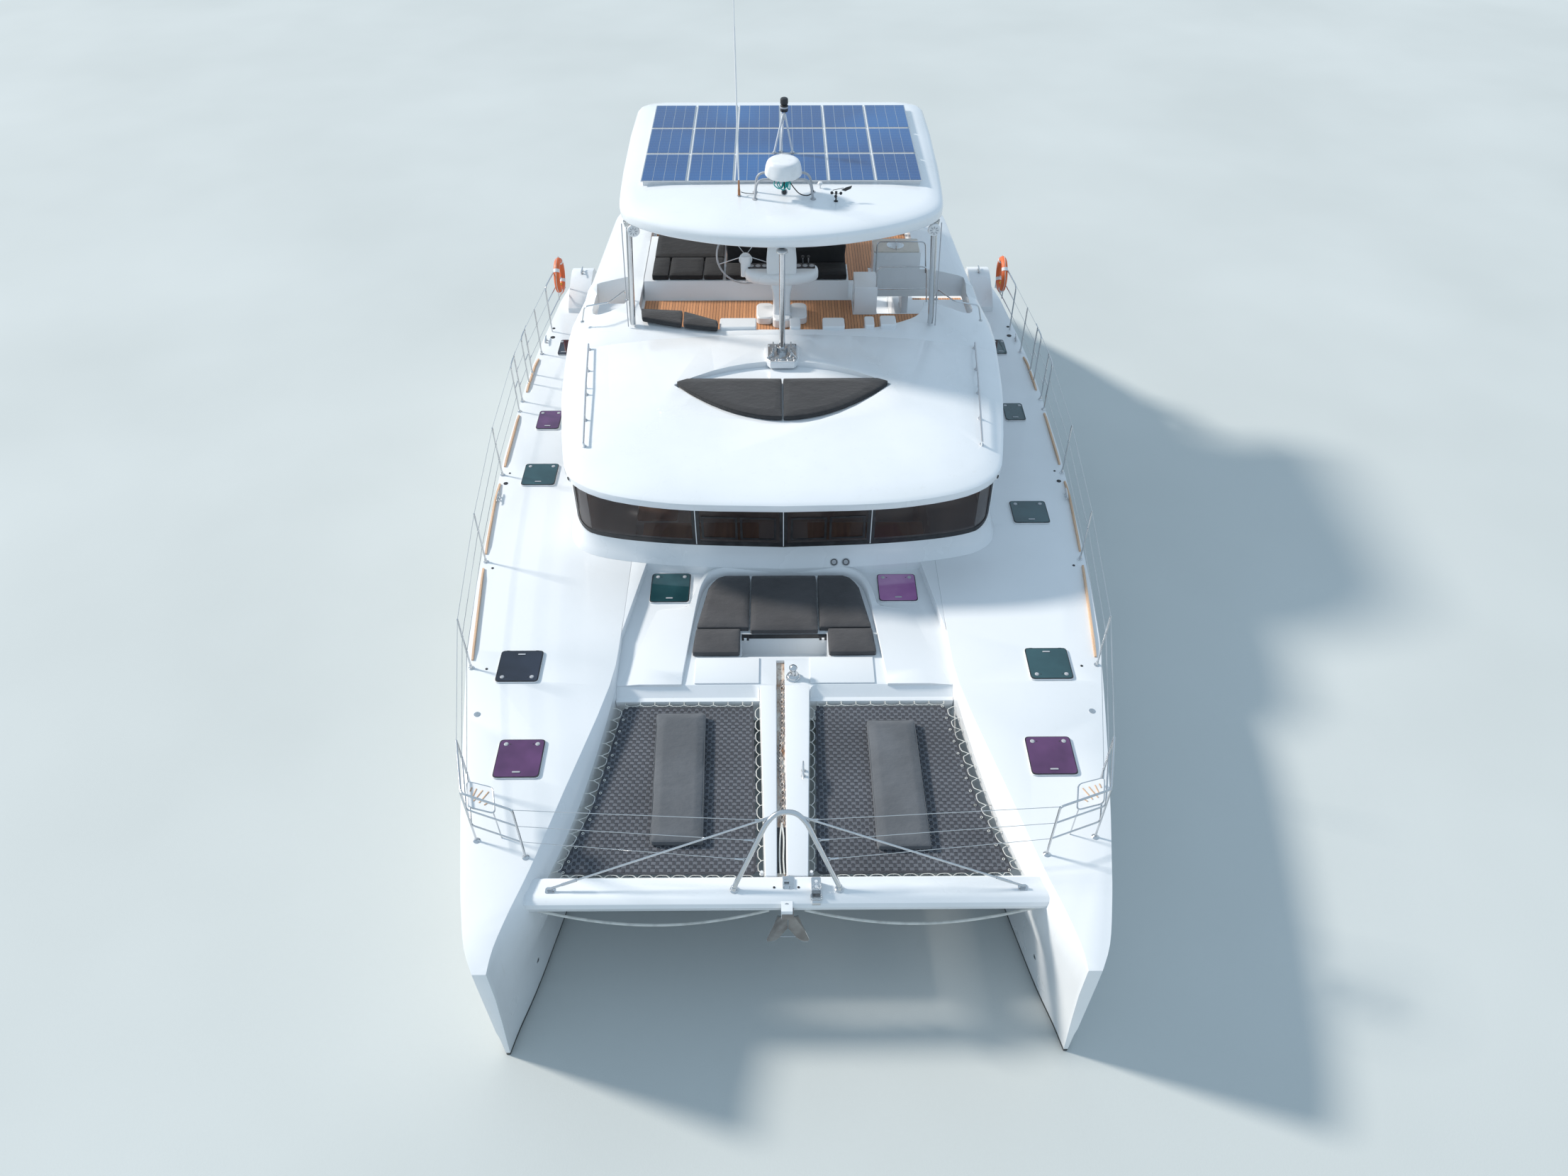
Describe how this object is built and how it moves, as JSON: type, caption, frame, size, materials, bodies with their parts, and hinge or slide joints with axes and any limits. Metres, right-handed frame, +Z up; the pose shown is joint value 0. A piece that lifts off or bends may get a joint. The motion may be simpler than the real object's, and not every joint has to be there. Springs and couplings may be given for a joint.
{
  "type": "cruising catamaran with flybridge and hardtop, no mast",
  "caption": "Twin-hulled cruising catamaran with flybridge, hardtop, bow nets, opening hatches, steering rudders and propellers.",
  "frame": {"origin": "on the water's surface, amidships, halfway between the hulls", "axes": "+Z up, -Y towards the bow, +X towards the port side"},
  "size_m": [10.04, 18.9, 12.95],
  "materials": {
    "gelcoat": "white gelcoat, glossy on the topsides and finely textured on the decks",
    "antifouling": "matt black antifouling paint below the water",
    "bronze": "cast bronze, dulled by the sea",
    "tinted_glass": "brown or black tinted acrylic, polished",
    "cushion_fabric": "dark grey outdoor fabric with piped seams",
    "stainless": "polished stainless steel",
    "solar_cells": "blue silicon cells under glass in light grey frames",
    "net_webbing": "black woven webbing with white lacing",
    "galvanised": "galvanised steel, weathered",
    "teak": "oiled teak strips with dark seams"
  },
  "bodies": {
    "platform": {"hull_starboard": "gelcoat", "hull_port": "gelcoat", "bridge_deck": "gelcoat", "saloon_walls": "gelcoat", "saloon_aft_wall": "gelcoat", "coachroof": "gelcoat", "flybridge": "gelcoat", "hardtop": "gelcoat", "helm_console": "gelcoat", "crossbeam": "gelcoat", "walkway": "gelcoat", "radar": "gelcoat", "whip_antenna": "gelcoat", "glass_front": "tinted_glass", "glass_starboard": "tinted_glass", "glass_port": "tinted_glass", "roof_cushion": "cushion_fabric", "lounge_cushion": "cushion_fabric", "helm_cushion": "cushion_fabric", "coaming_pad": "cushion_fabric", "net_pad_starboard": "cushion_fabric", "net_pad_port": "cushion_fabric", "foredeck_cushions": "cushion_fabric", "cockpit_cushion": "cushion_fabric", "post_front_starboard": "stainless", "post_front_port": "stainless", "post_aft_starboard": "stainless", "post_aft_port": "stainless", "centre_post": "stainless", "light_mast": "stainless", "striker": "stainless", "windlass": "stainless", "rails_starboard": "stainless", "rails_port": "stainless", "solar_array": "solar_cells", "trampoline_starboard": "net_webbing", "trampoline_port": "net_webbing", "anchor": "galvanised", "cockpit_table": "teak"},
    "hatch_bow_port": {"hatch_bow_port": "tinted_glass"},
    "hatch_bow_starboard": {"hatch_bow_starboard": "tinted_glass"},
    "hatch_foredeck_port": {"hatch_foredeck_port": "tinted_glass"},
    "hatch_foredeck_starboard": {"hatch_foredeck_starboard": "tinted_glass"},
    "hatch_hull_port": {"hatch_hull_port": "tinted_glass"},
    "hatch_hull_starboard": {"hatch_hull_starboard": "tinted_glass"},
    "hatch_side_port_1": {"hatch_side_port_1": "tinted_glass"},
    "hatch_side_port_2": {"hatch_side_port_2": "tinted_glass"},
    "hatch_side_port_3": {"hatch_side_port_3": "tinted_glass"},
    "hatch_side_starboard_1": {"hatch_side_starboard_1": "tinted_glass"},
    "hatch_side_starboard_2": {"hatch_side_starboard_2": "tinted_glass"},
    "hatch_side_starboard_3": {"hatch_side_starboard_3": "tinted_glass"},
    "helm_wheel": {"helm_wheel": "stainless"},
    "locker_lid_port": {"locker_lid_port": "gelcoat"},
    "locker_lid_starboard": {"locker_lid_starboard": "gelcoat"},
    "propeller_port": {"propeller_port": "bronze"},
    "propeller_starboard": {"propeller_starboard": "bronze"},
    "rudder_port": {"rudder_port": "antifouling"},
    "rudder_starboard": {"rudder_starboard": "antifouling"},
    "saloon_door": {"saloon_door": "tinted_glass"}
  },
  "joints": [
    {"name": "hatch_bow_starboard_hinge", "type": "hinge", "parent": "platform", "child": "hatch_bow_starboard", "pos_m": [-3.585, -6.7, 2.1004], "axis": [1, 0, 0], "range_deg": [0, 85]},
    {"name": "hatch_bow_port_hinge", "type": "hinge", "parent": "platform", "child": "hatch_bow_port", "pos_m": [3.585, -6.7, 2.1004], "axis": [1, 0, 0], "range_deg": [0, 85]},
    {"name": "hatch_hull_starboard_hinge", "type": "hinge", "parent": "platform", "child": "hatch_hull_starboard", "pos_m": [-3.865, -4.38, 2.1004], "axis": [-1, 0, 0], "range_deg": [0, 85]},
    {"name": "hatch_hull_port_hinge", "type": "hinge", "parent": "platform", "child": "hatch_hull_port", "pos_m": [3.865, -4.38, 2.1004], "axis": [-1, 0, 0], "range_deg": [0, 85]},
    {"name": "hatch_foredeck_starboard_hinge", "type": "hinge", "parent": "platform", "child": "hatch_foredeck_starboard", "pos_m": [-1.8, -3.215, 1.9504], "axis": [1, 0, 0], "range_deg": [0, 85]},
    {"name": "hatch_foredeck_port_hinge", "type": "hinge", "parent": "platform", "child": "hatch_foredeck_port", "pos_m": [1.805, -3.215, 1.9504], "axis": [1, 0, 0], "range_deg": [0, 85]},
    {"name": "hatch_side_starboard_1_hinge", "type": "hinge", "parent": "platform", "child": "hatch_side_starboard_1", "pos_m": [-4.28, -0.41, 2.1004], "axis": [1, 0, 0], "range_deg": [0, 85]},
    {"name": "hatch_side_starboard_2_hinge", "type": "hinge", "parent": "platform", "child": "hatch_side_starboard_2", "pos_m": [-4.37, 1.28, 2.1004], "axis": [1, 0, 0], "range_deg": [0, 85]},
    {"name": "hatch_side_starboard_3_hinge", "type": "hinge", "parent": "platform", "child": "hatch_side_starboard_3", "pos_m": [-4.435, 3.89, 2.1004], "axis": [1, 0, 0], "range_deg": [0, 85]},
    {"name": "hatch_side_port_1_hinge", "type": "hinge", "parent": "platform", "child": "hatch_side_port_1", "pos_m": [4.18, -1.5, 2.1004], "axis": [1, 0, 0], "range_deg": [0, 85]},
    {"name": "hatch_side_port_2_hinge", "type": "hinge", "parent": "platform", "child": "hatch_side_port_2", "pos_m": [4.395, 1.5, 2.1004], "axis": [1, 0, 0], "range_deg": [0, 85]},
    {"name": "hatch_side_port_3_hinge", "type": "hinge", "parent": "platform", "child": "hatch_side_port_3", "pos_m": [4.485, 3.85, 2.1004], "axis": [1, 0, 0], "range_deg": [0, 85]},
    {"name": "locker_lid_starboard_hinge", "type": "hinge", "parent": "platform", "child": "locker_lid_starboard", "pos_m": [-0.845, -4.395, 1.9504], "axis": [-1, 0, 0], "range_deg": [0, 85]},
    {"name": "locker_lid_port_hinge", "type": "hinge", "parent": "platform", "child": "locker_lid_port", "pos_m": [0.845, -4.395, 1.9504], "axis": [-1, 0, 0], "range_deg": [0, 85]},
    {"name": "saloon_door_slide", "type": "slide", "parent": "platform", "child": "saloon_door", "axis": [1, 0, 0], "range_m": [0, 1.5]},
    {"name": "helm_wheel_turn", "type": "hinge", "parent": "platform", "child": "helm_wheel", "pos_m": [-0.64, 2.82, 4.79], "axis": [0, 0.9982, -0.06], "range_deg": [-540, 540]},
    {"name": "rudder_starboard_turn", "type": "hinge", "parent": "platform", "child": "rudder_starboard", "pos_m": [-3.55, 7.55, -0.6], "axis": [0, 0, 1], "range_deg": [-35, 35]},
    {"name": "rudder_port_turn", "type": "hinge", "parent": "platform", "child": "rudder_port", "pos_m": [3.55, 7.55, -0.6], "axis": [0, 0, 1], "range_deg": [-35, 35]},
    {"name": "propeller_starboard_spin", "type": "hinge", "parent": "platform", "child": "propeller_starboard", "pos_m": [-3.55, 5.78, -1.053], "axis": [0, 0.995, -0.0995], "continuous": true},
    {"name": "propeller_port_spin", "type": "hinge", "parent": "platform", "child": "propeller_port", "pos_m": [3.55, 5.78, -1.053], "axis": [0, 0.995, -0.0995], "continuous": true}
  ],
  "couplings": [
    {"joint": "rudder_starboard_turn", "follows": "helm_wheel_turn", "ratio": 0.064815},
    {"joint": "rudder_port_turn", "follows": "helm_wheel_turn", "ratio": 0.064815}
  ]
}
